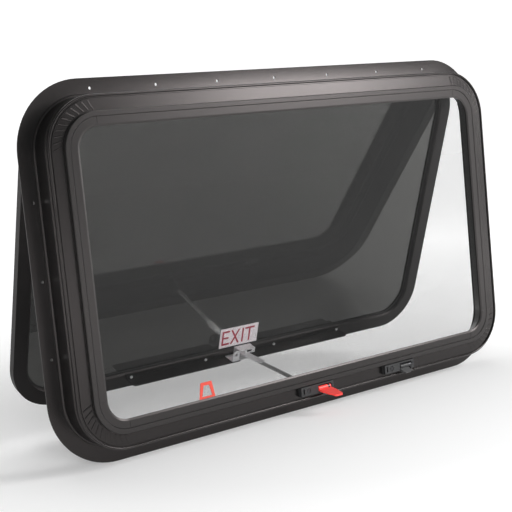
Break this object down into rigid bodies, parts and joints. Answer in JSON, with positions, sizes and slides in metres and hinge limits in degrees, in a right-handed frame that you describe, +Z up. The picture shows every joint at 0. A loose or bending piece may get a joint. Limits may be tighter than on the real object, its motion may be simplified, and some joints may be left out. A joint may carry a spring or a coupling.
{
  "type": "caravan window",
  "caption": "Top-hung caravan window: bent frame with insect screen, tinted sash propped open on a folding stay, and lever latches on the sill.",
  "frame": {"origin": "on the mounting face of the lower flange, midway along it and between the screw line and the lower edge", "axes": "+Z up, +X along the window's width to the right seen from inside, +Y outwards; the mounting face is the plane Y = 0 and faces the room"},
  "size_m": [0.928, 0.2963, 0.568],
  "materials": {
    "frame": "satin black powder coat",
    "mesh": "woven glass fibre insect mesh",
    "rubber": "matt",
    "red_plastic": "moulded",
    "black_plastic": "moulded",
    "dark_steel": "blackened",
    "bright_steel": "zinc plated",
    "glass": "dark tinted safety glass",
    "label": "plain printed plate"
  },
  "bodies": {
    "frame": {"mounting_flange": "frame", "frame_wall": "frame", "seal_leg": "frame", "face_band": "frame", "inner_rim": "frame", "inner_reveal": "frame", "screen_frame": "frame", "screen_mesh": "mesh", "screen_spline": "rubber", "screen_pull_loop": "red_plastic", "bulb_seal": "rubber", "hinge_bead": "frame", "sill_catch": "frame", "centre_latch_housing": "black_plastic", "centre_latch_screws": "dark_steel", "centre_latch_pin": "dark_steel", "right_latch_housing": "black_plastic", "right_latch_screws": "dark_steel", "right_latch_pin": "dark_steel"},
    "sash": {"sash_frame": "frame", "glass_pane": "glass", "glazing_gasket": "rubber", "sash_hinge_hook": "frame", "keeper_bar": "frame", "keeper_screws": "bright_steel", "stay_clip": "bright_steel", "stay_pin": "bright_steel", "exit_label": "label"},
    "stay": {"stay_tongue": "bright_steel", "stay_bar": "frame", "stay_rivet": "bright_steel"},
    "centre_latch": {"red_lever": "red_plastic", "red_hook": "dark_steel"},
    "right_latch": {"black_lever": "black_plastic", "black_hook": "dark_steel"}
  },
  "joints": [
    {"name": "sash_hinge", "type": "hinge", "parent": "frame", "child": "sash", "pos_m": [0, 0.008, 0.5387], "axis": [1, 0, 0], "range_deg": [-21, 0]},
    {"name": "stay_fold", "type": "hinge", "parent": "sash", "child": "stay", "pos_m": [0, 0.16988, 0.07094], "axis": [0, -0.1959, 0.9806], "range_deg": [0, 90]},
    {"name": "centre_latch_turn", "type": "hinge", "parent": "frame", "child": "centre_latch", "pos_m": [0.006, -0.0485, 0.0335], "axis": [1, 0, 0], "range_deg": [0, 15]},
    {"name": "right_latch_turn", "type": "hinge", "parent": "frame", "child": "right_latch", "pos_m": [0.191, -0.0485, 0.0335], "axis": [1, 0, 0], "range_deg": [0, 15]}
  ],
  "couplings": [
    {"joint": "stay_fold", "follows": "sash_hinge", "ratio": -4.2857}
  ]
}
